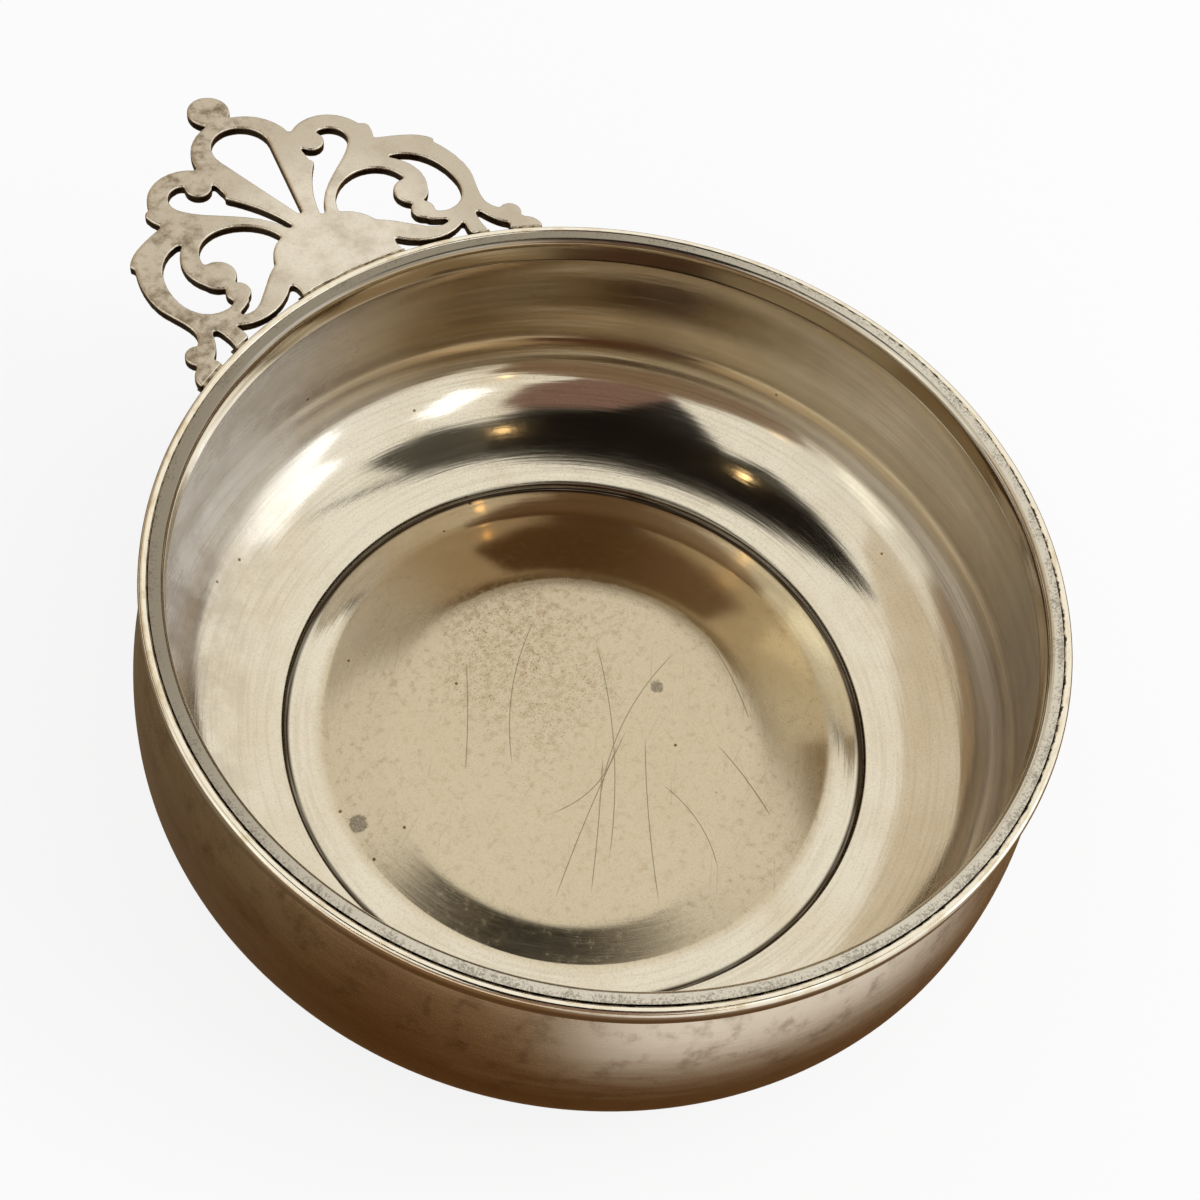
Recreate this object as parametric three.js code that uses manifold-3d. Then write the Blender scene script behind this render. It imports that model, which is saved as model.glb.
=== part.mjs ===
// Silver porringer: a round spun bowl with a wired lip and one flat pierced handle, all soldered together.
// Millimetres, +Z up. The bowl stands on Z = 0 and the handle points along +Y.
import * as THREE from 'three';
import { mergeVertices } from 'three/addons/utils/BufferGeometryUtils.js';
import Module from 'manifold-3d';

const wasm = await Module();
wasm.setup();

// Bowl
const bowlHeight = 41.6;       // table to the flat of the lip
const rimRadius = 57.5;        // outer edge of the rim wire
const wall = 0.8;              // thickness of the sheet
const lipWidth = 3.0;          // outer edge of the rim to the narrowest of the neck, inside
const lipRound = 1.2;          // inside edge of the lip
const neckRound = 1.6;         // roll of the neck under the lip
const bellyOut = 2.5;          // how far the belly stands out past the rim
const bellyDrop = 24.4;        // lip down to the widest of the belly
const sideCut = 0.637;         // share of the lower side's ellipse that the step cuts off
const stepRadius = 41.9;       // inside edge of the shoulder, where the floor steps down
const stepDrop = 1.1;          // height of that step, and of the foot it makes underneath
const stepRun = 0.6;           // width of the step's curve
const ringWidth = 4.5;         // flat ring that the bowl stands on
const domeFlat = 24.0;         // radius of the flat top of the floor's dome
const domeRise = 0.9;          // height of the dome above the ring

// Rim wire
const wireWidth = 1.25;
const wireHeight = 2.6;
const wireFoot = 0.2;          // chamfer of its lower outside edge
const seamGap = 0.1;           // seam between the wire and the lip

// Handle plate
const plateThickness = 1.6;
const plateDrop = 0.2;         // top of the plate below the top of the rim
const seatGap = 0.3;           // seam between the plate and the wire

// Solder
const rimSolderLeg = 0.6;      // legs of the fillet under the lip
const handleSolderRun = 1.2;   // how far each fillet runs out under the plate
const solderInset = 0.3;       // each fillet stops this short of its contact's ends
const solderGap = 0.1;

// Handle pattern, drawn in parts outwards from the rim's edge
const part = 1.0;              // length of one part
const strap = 3.0 * part;      // width of the straps round the teardrop and the petals
const teardrop = { out: 27.8 * part, radius: 4.1 * part, tipOut: 13.0 * part, tipRadius: 0.35 * part };
const petalHead = { x: 11.7 * part, out: 22.9 * part, radius: 2.5 * part, from: -37, to: 104 };
const scrollWeb = 0.8 * part;  // web behind the scroll's knobs

// Where the handle meets the rim, from its middle line outwards
const tongueHalf = 8.5 * part;
const strutGap = 10.15 * part;
const strutWidth = 2.05 * part;
const footGap = 2.5 * part;
const footWidth = 4.3 * part;
const legDepth = 10.0 * part;  // legs run this far in before the rim cuts them
const strutInner = tongueHalf + strutGap;
const strutOuter = strutInner + strutWidth;
const footInner = strutOuter + footGap;
const footOuter = footInner + footWidth;
const footMiddle = (footInner + footOuter) / 2;

// Round knobs of the handle
const finial = { x: 0, out: teardrop.out + teardrop.radius + 1.5 * strap, radius: 3.0 * part };
const petalKnob = { x: petalHead.x - petalHead.radius, out: petalHead.out + 1.2 * part, radius: 1.9 * part };
const scrollEye = { x: 15.7 * part, out: 8.6 * part, radius: 2.5 * part };
const scrollLobe = { x: 15.0 * part, out: 4.7 * part, radius: 1.7 * part };
const endKnob = { x: footMiddle, out: -2.0 * part, radius: 1.6 * part };
const footLobe = { x: footMiddle, out: -5.9 * part, radius: 2.4 * part };

// Facets
const turns = 64;              // round the bowl
const curveSteps = 8;          // along each curve of the handle
const knobSides = 28;

// Sizes that follow from those above
const neckRadius = rimRadius - lipWidth;
const bellyRadius = rimRadius + bellyOut;
const wireInner = rimRadius - wireWidth;
const lipEdge = wireInner - seamGap;
const plateTop = bowlHeight - plateDrop;
const plateBottom = plateTop - plateThickness;
const handleReach = rimRadius + finial.out + finial.radius;

const silver = { color: 0xcfc4ae, roughness: 0.3, metalness: 1.0 };
const paleSilver = { color: 0xd6cdbb, roughness: 0.2, metalness: 1.0 };
const wornSilver = { color: 0xc4b8a2, roughness: 0.42, metalness: 1.0 };
const solderGrey = { color: 0xa89f90, roughness: 0.5, metalness: 1.0 };

// Points of an elliptic arc from one angle to another, both in degrees
function arc(cx, cy, rx, ry, from, to, steps) {
  const points = [];
  for (let i = 0; i <= steps; i += 1) {
    const a = THREE.MathUtils.degToRad(from + (to - from) * i / steps);
    points.push(new THREE.Vector2(cx + rx * Math.cos(a), cy + ry * Math.sin(a)));
  }
  return points;
}

// Points of the step's S-curve between two levels
function easeCurve(r0, z0, r1, z1, steps) {
  const middle = (r0 + r1) / 2;
  const curve = new THREE.CubicBezierCurve(
    new THREE.Vector2(r0, z0),
    new THREE.Vector2(middle, z0),
    new THREE.Vector2(middle, z1),
    new THREE.Vector2(r1, z1),
  );
  return curve.getPoints(steps);
}

// Solid of revolution about Z from a profile of radius and height
function revolve(profile) {
  const distinct = profile.filter((p, i) => i === 0 || p.distanceTo(profile[i - 1]) > 1e-4);
  const geometry = new THREE.LatheGeometry(distinct, turns);
  geometry.rotateX(Math.PI / 2);
  return geometry;
}

// Manifold solid of a closed three.js geometry
function solid(geometry) {
  const bare = geometry.clone();
  bare.deleteAttribute('normal');
  bare.deleteAttribute('uv');
  const merged = mergeVertices(bare, 1e-4);
  const corners = [];
  for (let i = 0; i < merged.index.count; i += 3) {
    const [a, b, c] = [0, 1, 2].map((k) => merged.index.getX(i + k));
    if (a !== b && b !== c && c !== a) {
      corners.push(a, b, c);
    }
  }
  return new wasm.Manifold(new wasm.Mesh({
    numProp: 3,
    vertProperties: new Float32Array(merged.attributes.position.array),
    triVerts: new Uint32Array(corners),
  }));
}

// three.js geometry of a manifold solid
function geometryOf(body) {
  const mesh = body.getMesh();
  const geometry = new THREE.BufferGeometry();
  geometry.setAttribute('position', new THREE.BufferAttribute(new Float32Array(mesh.vertProperties), 3));
  geometry.setIndex(new THREE.BufferAttribute(new Uint32Array(mesh.triVerts), 1));
  geometry.computeVertexNormals();
  return geometry;
}

function piece(name, geometry, finish) {
  const mesh = new THREE.Mesh(geometry, new THREE.MeshStandardMaterial(finish));
  mesh.name = name;
  return mesh;
}

// The body is one sheet: its outer skin runs parallel to the inner one at the sheet's thickness.
function bowlBody() {
  const bellyIn = bellyRadius - wall;
  const bellyZ = bowlHeight - bellyDrop;
  const neckZ = bowlHeight - lipRound;
  const shoulderZ = stepDrop + wall;
  const ringInner = stepRadius - stepRun - ringWidth;

  // The belly's upper arc runs smoothly into the neck's roll.
  const rise = neckZ - bellyZ;
  const reach = neckRadius + neckRound - bellyIn;
  const bellyArc = (reach ** 2 + rise ** 2 - neckRound ** 2) / (2 * (neckRound - reach));
  const meet = THREE.MathUtils.radToDeg(Math.atan2(rise, reach + bellyArc));

  // Below the belly the side is part of an ellipse: upright at the belly, leaning at the step.
  const sideRun = (bellyIn - stepRadius) / (1 - sideCut);
  const sideRise = (bellyZ - shoulderZ) / Math.sqrt(1 - sideCut ** 2);
  const sideMiddle = bellyIn - sideRun;
  const footRadius = stepRadius + wall;
  const footCut = (footRadius - sideMiddle) / (sideRun + wall);
  const footTop = bellyZ - (sideRise + wall) * Math.sqrt(1 - footCut ** 2);
  const sideStart = THREE.MathUtils.radToDeg(Math.asin(sideCut)) - 90;
  const footStart = THREE.MathUtils.radToDeg(Math.asin(footCut)) - 90;

  // The dome's arc is level where the flat ends and drops to the ring.
  const domeRun = ringInner - domeFlat;
  const domeSlope = 2 * THREE.MathUtils.radToDeg(Math.atan2(domeRise, domeRun));
  const domeArc = (domeRun ** 2 + domeRise ** 2) / (2 * domeRise);
  const domeZ = wall + domeRise - domeArc;
  const domeStart = 90 - domeSlope;

  const inside = [
    new THREE.Vector2(0, wall + domeRise),
    ...arc(domeFlat, domeZ, domeArc, domeArc, 90, domeStart, 4),
    ...easeCurve(stepRadius - stepRun, wall, stepRadius, shoulderZ, 4),
    ...arc(sideMiddle, bellyZ, sideRun, sideRise, sideStart, 0, 10),
    ...arc(bellyIn - bellyArc, bellyZ, bellyArc, bellyArc, 0, meet, 5),
    ...arc(neckRadius + neckRound, neckZ, neckRound, neckRound, 180 + meet, 180, 3),
    ...arc(neckRadius + lipRound, neckZ, lipRound, lipRound, 180, 90, 4),
    new THREE.Vector2(lipEdge, bowlHeight),
  ];
  const outside = [
    new THREE.Vector2(lipEdge, bowlHeight - wall),
    ...arc(neckRadius + lipRound, neckZ, lipRound - wall, lipRound - wall, 90, 180, 2),
    ...arc(neckRadius + neckRound, neckZ, neckRound - wall, neckRound - wall, 180, 180 + meet, 3),
    ...arc(bellyIn - bellyArc, bellyZ, bellyArc + wall, bellyArc + wall, meet, 0, 5),
    ...arc(sideMiddle, bellyZ, sideRun + wall, sideRise + wall, 0, footStart, 10),
    ...easeCurve(footRadius, footTop, footRadius - stepRun, 0, 4),
    new THREE.Vector2(ringInner, 0),
    ...arc(domeFlat, domeZ, domeArc - wall, domeArc - wall, domeStart, 90, 4),
    new THREE.Vector2(0, domeRise),
  ];
  return revolve([...inside, ...outside].reverse());
}

// Half-round wire with its crown level with the lip
function rimWire() {
  const crown = wireWidth / 2;
  const low = bowlHeight - wireHeight;
  const profile = [
    new THREE.Vector2(wireInner, low),
    new THREE.Vector2(rimRadius - wireFoot, low),
    new THREE.Vector2(rimRadius, low + wireFoot),
    ...arc(wireInner + crown, bowlHeight - crown, crown, crown, 0, 180, 6),
    new THREE.Vector2(wireInner, low),
  ];
  return revolve(profile);
}

// Fillet in the corner between the wire and the underside of the lip
function rimSolder() {
  const r = wireInner - solderGap;
  const z = bowlHeight - wall - solderGap;
  const profile = [
    new THREE.Vector2(r, z - rimSolderLeg),
    new THREE.Vector2(r, z),
    new THREE.Vector2(r - rimSolderLeg, z),
    new THREE.Vector2(r, z - rimSolderLeg),
  ];
  return revolve(profile);
}

// A path that is drawn in parts
class PatternPath extends THREE.Path {
  start(x, y) {
    return this.moveTo(x * part, y * part);
  }

  line(x, y) {
    return this.lineTo(x * part, y * part);
  }

  bend(ax, ay, x, y) {
    return this.quadraticCurveTo(ax * part, ay * part, x * part, y * part);
  }

  sweep(ax, ay, bx, by, x, y) {
    return this.bezierCurveTo(ax * part, ay * part, bx * part, by * part, x * part, y * part);
  }

  round(cx, cy, radius, from, to) {
    arc(cx, cy, radius, radius, from, to, 2 * curveSteps).forEach((p, i) => {
      if (i > 0 || this.curves.length > 0) {
        this.lineTo(p.x, p.y);
      } else {
        this.moveTo(p.x, p.y);
      }
    });
    return this;
  }
}

// Right half of the plate's edge, from the arch under the finial round to the tongue at the base
function plateEdge() {
  const edge = new PatternPath();
  // Arch over the teardrop, arch over the petal
  edge.round(0.4 * part, teardrop.out - 0.9 * part, teardrop.radius + strap, 90, 3);
  edge.round(petalHead.x - 0.3 * part, petalHead.out - 0.5 * part, petalHead.radius + 1.13 * strap, 127, 12);
  // Small leaf where the petal meets the big scroll
  edge.bend(18.3, 23.4, 18.2, 22.5);
  edge.bend(18.1, 21.4, 17.3, 20.1);
  // Back of the big scroll, with its second leaf
  edge.sweep(19.7, 19.2, 23.5, 18.1, 24.7, 15.7);
  edge.line(24.3, 15.1);
  edge.sweep(25.6, 12.1, 26.0, 8.2, 24.8, 5.8);
  edge.sweep(24.1, 3.8, 22.7, 1.4, 24.3, -0.4);
  // Leg behind the end knob and the foot, run in past the rim
  edge.lineTo(footMiddle + 1.1 * part, -3.6 * part);
  edge.lineTo(footMiddle + 1.5 * part, -5.5 * part);
  edge.lineTo(footMiddle + 1.5 * part, -legDepth);
  edge.lineTo(footInner + 0.2 * part, -legDepth);
  edge.lineTo(footInner, -5.0 * part);
  edge.lineTo(footInner + 0.7 * part, -3.6 * part);
  // Slot between the foot and the strut
  const slotRight = strutOuter + 1.0 * part;
  const slotLeft = strutOuter + 0.2 * part;
  edge.bezierCurveTo(
    footInner - 0.5 * part, -2.8 * part,
    slotRight + 0.4 * part, -1.1 * part,
    slotRight, 0.1 * part,
  );
  edge.quadraticCurveTo((slotLeft + slotRight) / 2, 0.9 * part, slotLeft, 0.1 * part);
  edge.bezierCurveTo(
    slotLeft - 0.5 * part, -1.6 * part,
    slotLeft - 0.6 * part, -3.1 * part,
    strutOuter, -5.0 * part,
  );
  edge.lineTo(strutOuter, -legDepth);
  edge.lineTo(strutInner, -legDepth);
  // Slot between the strut and the tongue
  const tongueTip = tongueHalf - 0.1 * part;
  edge.lineTo(strutInner, -4.3 * part);
  edge.bezierCurveTo(
    strutInner - 0.9 * part, -2.9 * part,
    strutInner - 0.6 * part, -1.1 * part,
    strutInner, 0,
  );
  edge.bezierCurveTo(
    strutInner - 2.3 * part, -1.7 * part,
    tongueTip + 3.4 * part, -1.7 * part,
    tongueTip, 2.2 * part,
  );
  edge.bezierCurveTo(
    tongueTip - 0.6 * part, 1.2 * part,
    tongueTip - 0.3 * part, -0.3 * part,
    tongueHalf, -1.7 * part,
  );
  edge.lineTo(tongueHalf, -legDepth);
  return edge.getPoints(curveSteps);
}

// Teardrop: a round head drawn in along its tangents to a small round tip
function teardropOpening() {
  const { out, radius, tipOut, tipRadius } = teardrop;
  const lean = THREE.MathUtils.radToDeg(Math.asin((radius - tipRadius) / (out - tipOut)));
  const edge = new PatternPath();
  edge.round(0, out, radius, -lean, 180 + lean);
  edge.round(0, tipOut, tipRadius, 180 + lean, 360 - lean);
  return edge.getPoints(curveSteps);
}

// Petal: a narrow tip beside the teardrop, opening to a round head
function petalOpening() {
  const { x, out, radius, from, to } = petalHead;
  const throat = arc(x, out, radius, radius, from, from, 1)[0];
  const edge = new PatternPath();
  edge.start(3.0, 11.2);
  edge.bezierCurveTo(5.1 * part, 16.4 * part, 11.6 * part, 18.2 * part, throat.x, throat.y);
  edge.round(x, out, radius, from, to);
  edge.lineTo(petalKnob.x, petalKnob.out);
  edge.line(7.1, 23.7);
  // Thorn on the teardrop's side
  edge.line(6.9, 20.9);
  edge.line(7.3, 20.3);
  edge.sweep(5.5, 18.3, 3.3, 15.2, 2.3, 11.4);
  edge.bend(2.5, 10.8, 3.0, 11.2);
  return edge.getPoints(curveSteps);
}

// Big opening between the scroll and the lobed shield
function scrollOpening() {
  const web = scrollWeb / 2;
  const edge = new PatternPath();
  edge.start(4.7, 10.2);
  edge.sweep(5.3, 13.2, 8.2, 15.6, 11.4, 15.6);
  edge.sweep(14.0, 15.6, 16.2, 13.8, 16.3, 11.1);
  edge.lineTo(scrollEye.x - web, scrollEye.out);
  edge.lineTo(scrollLobe.x - web, scrollLobe.out);
  edge.line(14.5, 2.7);
  edge.bend(15.3, 2.1, 16.6, 1.5);
  edge.bend(17.0, 1.2, 16.6, 0.9);
  // Lobed edge of the shield
  edge.sweep(14.4, 0.1, 13.0, 2.4, 11.0, 4.1);
  edge.bend(9.9, 5.3, 8.2, 6.4);
  edge.bend(7.3, 9.3, 4.7, 10.2);
  return edge.getPoints(curveSteps);
}

// Crescent inside the big scroll
function crescentOpening() {
  const web = scrollWeb / 2;
  const edge = new PatternPath();
  edge.start(16.5, 16.0);
  edge.sweep(19.6, 13.5, 19.6, 10.0, 18.1, 7.9);
  edge.lineTo(scrollEye.x + web, scrollEye.out);
  edge.lineTo(scrollLobe.x + web, scrollLobe.out);
  edge.line(16.2, 3.8);
  edge.bend(16.9, 2.9, 18.2, 2.8);
  edge.sweep(20.7, 2.7, 22.6, 4.8, 22.6, 8.2);
  edge.sweep(22.6, 12.8, 19.9, 16.0, 16.5, 16.0);
  return edge.getPoints(curveSteps);
}

function mirrored(points) {
  return points.map((p) => new THREE.Vector2(-p.x, p.y)).reverse();
}

// Plate of the handle, drawn outwards from the rim's edge and lifted to its place
function plate(shape) {
  const geometry = new THREE.ExtrudeGeometry(shape, { depth: plateThickness, bevelEnabled: false });
  geometry.translate(0, rimRadius, plateBottom);
  return geometry;
}

function knobDisc(knob, side) {
  const geometry = new THREE.CylinderGeometry(knob.radius, knob.radius, plateThickness, knobSides);
  geometry.rotateX(Math.PI / 2);
  geometry.translate(side * knob.x, rimRadius + knob.out, plateBottom + plateThickness / 2);
  return geometry;
}

// Solid drum about the bowl's axis
function drum(radius, low, high) {
  return revolve([
    new THREE.Vector2(0, low),
    new THREE.Vector2(radius, low),
    new THREE.Vector2(radius, high),
    new THREE.Vector2(0, high),
  ]);
}

function handle() {
  const right = plateEdge();
  const shape = new THREE.Shape([...right, ...mirrored(right)].reverse());
  shape.holes.push(new THREE.Path(teardropOpening()));
  for (const opening of [petalOpening(), scrollOpening(), crescentOpening()]) {
    shape.holes.push(new THREE.Path(opening));
    shape.holes.push(new THREE.Path(mirrored(opening)));
  }
  let body = solid(plate(shape)).add(solid(knobDisc(finial, 1)));
  for (const knob of [petalKnob, scrollEye, scrollLobe, endKnob, footLobe]) {
    body = body.add(solid(knobDisc(knob, 1))).add(solid(knobDisc(knob, -1)));
  }
  const seat = drum(rimRadius + seatGap, plateBottom - plateThickness, plateTop + plateThickness);
  return geometryOf(body.subtract(solid(seat)));
}

// Fillet of solder under the plate, against the wire, between two distances across
function handleSolder(from, to) {
  const r = rimRadius + solderGap;
  const top = plateBottom - solderGap;
  const low = bowlHeight - wireHeight + wireFoot;
  const ring = revolve([
    new THREE.Vector2(r, low),
    new THREE.Vector2(r + handleSolderRun, top),
    new THREE.Vector2(r, top),
    new THREE.Vector2(r, low),
  ]);
  const depth = 2 * plateThickness;
  const window = new THREE.BoxGeometry(to - from - 2 * solderInset, rimRadius, depth);
  window.translate((from + to) / 2, rimRadius, plateBottom - depth / 2 + solderGap);
  return geometryOf(solid(ring).intersect(solid(window)));
}

const porringer = new THREE.Group();
porringer.name = 'porringer';
porringer.add(piece('bowl_body', bowlBody(), silver));
porringer.add(piece('rim_wire', rimWire(), paleSilver));
porringer.add(piece('rim_solder', rimSolder(), solderGrey));
porringer.add(piece('handle', handle(), wornSilver));
porringer.add(piece('solder_tongue', handleSolder(-tongueHalf, tongueHalf), solderGrey));
porringer.add(piece('solder_strut_right', handleSolder(strutInner, strutOuter), solderGrey));
porringer.add(piece('solder_strut_left', handleSolder(-strutOuter, -strutInner), solderGrey));
porringer.add(piece('solder_foot_right', handleSolder(footInner, footOuter), solderGrey));
porringer.add(piece('solder_foot_left', handleSolder(-footOuter, -footInner), solderGrey));

// The origin is under the middle of the whole length, from the back of the belly to the finial's tip.
porringer.position.y = (bellyRadius - handleReach) / 2;

export default porringer;
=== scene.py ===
import math
import bmesh
import bpy
from mathutils import Matrix, Vector


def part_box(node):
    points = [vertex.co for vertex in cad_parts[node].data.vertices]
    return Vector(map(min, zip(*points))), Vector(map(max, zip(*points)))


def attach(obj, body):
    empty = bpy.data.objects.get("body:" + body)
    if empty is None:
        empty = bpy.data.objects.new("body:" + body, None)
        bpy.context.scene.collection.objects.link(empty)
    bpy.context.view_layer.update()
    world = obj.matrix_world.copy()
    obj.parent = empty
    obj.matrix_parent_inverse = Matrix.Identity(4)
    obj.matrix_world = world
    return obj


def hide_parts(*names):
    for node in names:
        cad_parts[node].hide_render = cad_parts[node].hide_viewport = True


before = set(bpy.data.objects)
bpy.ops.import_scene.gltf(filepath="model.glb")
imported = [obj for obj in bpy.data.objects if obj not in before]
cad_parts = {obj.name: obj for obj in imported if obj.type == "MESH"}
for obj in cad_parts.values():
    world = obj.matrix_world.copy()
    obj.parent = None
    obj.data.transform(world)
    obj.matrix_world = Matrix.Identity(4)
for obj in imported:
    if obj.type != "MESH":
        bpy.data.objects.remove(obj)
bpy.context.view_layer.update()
mm = 0.001
sharpAngle = math.radians(40)

# the places that everything else is set out from
bowlLow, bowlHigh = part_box("bowl_body")
wireLow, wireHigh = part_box("rim_wire")
plateLow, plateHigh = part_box("handle")
axisY = (bowlLow.y + bowlHigh.y) / 2
rimTop = bowlHigh.z
rimRadius = wireHigh.x
bellyRadius = bowlHigh.x
rimCentre = Vector((0, axisY, rimTop))
print("frame loaded, rim", round(rimRadius / mm, 2), "mm from its axis")


# node helpers: a socket value is a number, a colour or another node's output
def addNode(tree, kind, settings, sockets):
    node = tree.nodes.new("ShaderNode" + kind)
    for name, value in settings.items():
        setattr(node, name, value)
    for name, value in sockets.items():
        if isinstance(value, bpy.types.NodeSocket):
            tree.links.new(value, node.inputs[name])
        else:
            node.inputs[name].default_value = value
    return node


def calc(tree, operation, first, second=0.0, third=0.0):
    node = addNode(tree, "Math", {"operation": operation}, {0: first, 1: second, 2: third})
    return node.outputs[0]


def fade(tree, value, low, high, atLow=0.0, atHigh=1.0):
    sockets = {"Value": value, "From Min": low, "From Max": high, "To Min": atLow, "To Max": atHigh}
    return addNode(tree, "MapRange", {"interpolation_type": "SMOOTHSTEP"}, sockets).outputs[0]


def tint(tree, factor, under, over, blend="MIX"):
    node = addNode(tree, "Mix", {"data_type": "RGBA", "blend_type": blend}, {0: factor, 6: under, 7: over})
    return node.outputs[2]


def grain(tree, vector, scale, detail=2.0, roughness=0.5):
    sockets = {"Vector": vector, "Scale": scale, "Detail": detail, "Roughness": roughness}
    return addNode(tree, "TexNoise", {}, sockets).outputs[0]


def stretch(tree, vector, scale, location=(0, 0, 0), turn=0.0):
    sockets = {"Vector": vector, "Scale": scale, "Location": location, "Rotation": (0, 0, math.radians(turn))}
    return addNode(tree, "Mapping", {}, sockets).outputs[0]


def srgb(red, green, blue):
    def channel(value):
        value /= 255
        return value / 12.92 if value <= 0.04045 else ((value + 0.055) / 1.055) ** 2.4
    return (channel(red), channel(green), channel(blue), 1.0)


def levelOf(tree, place):
    return addNode(tree, "VectorMath", {"operation": "MULTIPLY"}, {0: place, 1: (1, 1, 0)}).outputs[0]


# millimetres from the bowl's axis
def placeOf(tree):
    coords = addNode(tree, "TexCoord", {}, {}).outputs["Object"]
    return stretch(tree, coords, (1 / mm, 1 / mm, 1 / mm), (0, -axisY / mm, 0))


def radiusOf(tree, place):
    return addNode(tree, "VectorMath", {"operation": "LENGTH"}, {0: levelOf(tree, place)}).outputs["Value"]


def headingOf(tree, place):
    return addNode(tree, "VectorMath", {"operation": "NORMALIZE"}, {0: levelOf(tree, place)}).outputs[0]


def heightOf(tree, place):
    return addNode(tree, "SeparateXYZ", {}, {0: place}).outputs[2]


# noise drawn out round the bowl: slow with the heading, quick along the profile
def turnedGrain(tree, heading, along, around, across, detail=2.0, roughness=0.6):
    slow = addNode(tree, "VectorMath", {"operation": "SCALE"}, {0: heading, "Scale": around}).outputs[0]
    quick = addNode(tree, "CombineXYZ", {}, {2: calc(tree, "MULTIPLY", along, across)}).outputs[0]
    vector = addNode(tree, "VectorMath", {"operation": "ADD"}, {0: slow, 1: quick}).outputs[0]
    return grain(tree, vector, 1.0, detail, roughness)


def emptyMaterial(name):
    finish = bpy.data.materials.new(name)
    finish.use_nodes = True
    finish.node_tree.nodes.clear()
    return finish, finish.node_tree


def newFinish(name):
    finish, tree = emptyMaterial(name)
    shader = addNode(tree, "BsdfPrincipled", {}, {"Metallic": 1.0})
    addNode(tree, "OutputMaterial", {}, {"Surface": shader.outputs[0]})
    return finish, tree, shader


def connect(tree, shader, sockets):
    for name, value in sockets.items():
        tree.links.new(value, shader.inputs[name])


def bumpFrom(tree, height, depth, under=None):
    sockets = {"Height": height, "Distance": depth, "Strength": 1.0}
    if under is not None:
        sockets["Normal"] = under
    return addNode(tree, "Bump", {}, sockets).outputs[0]


# a stretch between two values, soft at both ends
def band(tree, value, low, high, soft):
    rising = fade(tree, value, low - soft, low + soft)
    falling = fade(tree, value, high - soft, high + soft, 1.0, 0.0)
    return calc(tree, "MULTIPLY", rising, falling)


def product(tree, *masks):
    result = masks[0]
    for mask in masks[1:]:
        result = calc(tree, "MULTIPLY", result, mask)
    return result


def most(tree, masks):
    result = masks[0]
    for mask in masks[1:]:
        result = calc(tree, "MAXIMUM", result, mask)
    return result


def gapTo(tree, level, x, y):
    return addNode(tree, "VectorMath", {"operation": "DISTANCE"}, {0: level, 1: (x, y, 0)}).outputs["Value"]


# how far the heading points to one side, from -1 to 1
def facing(tree, heading, degrees):
    side = (math.cos(math.radians(degrees)), math.sin(math.radians(degrees)), 0)
    return addNode(tree, "VectorMath", {"operation": "DOT_PRODUCT"}, {0: heading, 1: side}).outputs["Value"]


# the spun bowl: satin inside with turning lines, a worn and speckled floor, brown tarnish and painted
# reflection outside
bowlLook = {
    "silver": srgb(233, 230, 223),
    "warm": srgb(222, 215, 202),
    "streak": srgb(152, 138, 116),
    "floorSilver": srgb(210, 200, 180),
    "slope": srgb(176, 156, 126),
    "toned": srgb(186, 168, 142),
    "haze": srgb(236, 233, 228),
    "neck": srgb(142, 130, 112),
    "stained": srgb(188, 178, 166),
    "golden": srgb(244, 232, 204),
    "bronze": srgb(168, 150, 118),
    "speck": srgb(128, 98, 66),
    "grime": srgb(170, 146, 112),
    "crease": srgb(58, 48, 36),
    "scratch": srgb(104, 92, 76),
    "spot": srgb(116, 110, 102),
    "lip": srgb(216, 214, 210),
    "lipFar": srgb(146, 140, 132),
    "lipTarnish": srgb(104, 97, 90),
    "outsideHigh": srgb(204, 190, 168),
    "outsideLow": srgb(150, 116, 78),
    "outsideHighlight": srgb(232, 226, 216),
    "outsideMottle": srgb(116, 88, 58),
    "farReflectionSide": 55,             # headings, in degrees round the bowl from the x axis
    "hazeSide": 140,
    "goldenSide": -20,
    "stainedSide": 165,
    "neckSide": 15,
    "nearSide": 219,
    "lipGrainSide": 270,
    "lipShadeSide": 110,
    "highlightSide": 258,
    "leftHaze": 0.72,            # how far the haze hides the metal
    "rightHaze": 0.26,
    "hazeRough": 0.3,
    "wornRough": 0.11,
    "slopeRough": 0.02,
    "outsideRough": 0.16,
    "lipFoot": 40.8,             # heights, in millimetres
    "lipTop": 41.3,
    "neckFoot": 37.7,
    "neckTop": 40.6,
    "wornHeart": (0.0, -3.7),    # middle of the worn flat
    "wornEdge": 28.8,            # its reach
    "floorEdge": 37.0,           # from the axis to the floor's ring and the step's corner
    "creaseIn": 40.9,
    "stepShadeOut": 41.75,
    "floorTurn": 50.63,          # turns the floor's marks to lie as they do in the photo
    "spots": ((-25.7, -23.9, 1.3), (9.8, 7.6, 1.0)),
    "speckleHeart": (-10.0, 7.0),
    "scratches": (               # from, to and bow, in millimetres
        (11.8, 14.9, 5.6, -14.6, -2.5), (-0.6, 13.1, 8.5, -21.6, 1.8), (9.6, -0.4, 16.5, -25.8, -0.5),
        (13.4, -7.6, 23.4, -18.3, 1.4), (19.8, 0.8, 29.5, -8.1, 0.3), (7.0, 0.0, 2.5, -28.8, -0.4),
        (-9.7, 14.7, -7.2, -11.2, -1.9), (4.4, -5.2, 7.1, -26.5, 0.2), (-17.9, 4.4, -13.5, -13.5, 0.3),
        (6.0, -2.5, -1.2, -16.5, 2.1), (15.9, 17.9, 24.0, 6.0, 0.5)),
    "scratchWidth": 0.11,
    "scratchDepth": 1.2e-5,
    "lineDepth": 1.7e-6,
    "coarseDepth": 7e-6,
    "ringDepth": 3e-5,
    "broadDepth": 3e-5,
}


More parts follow.
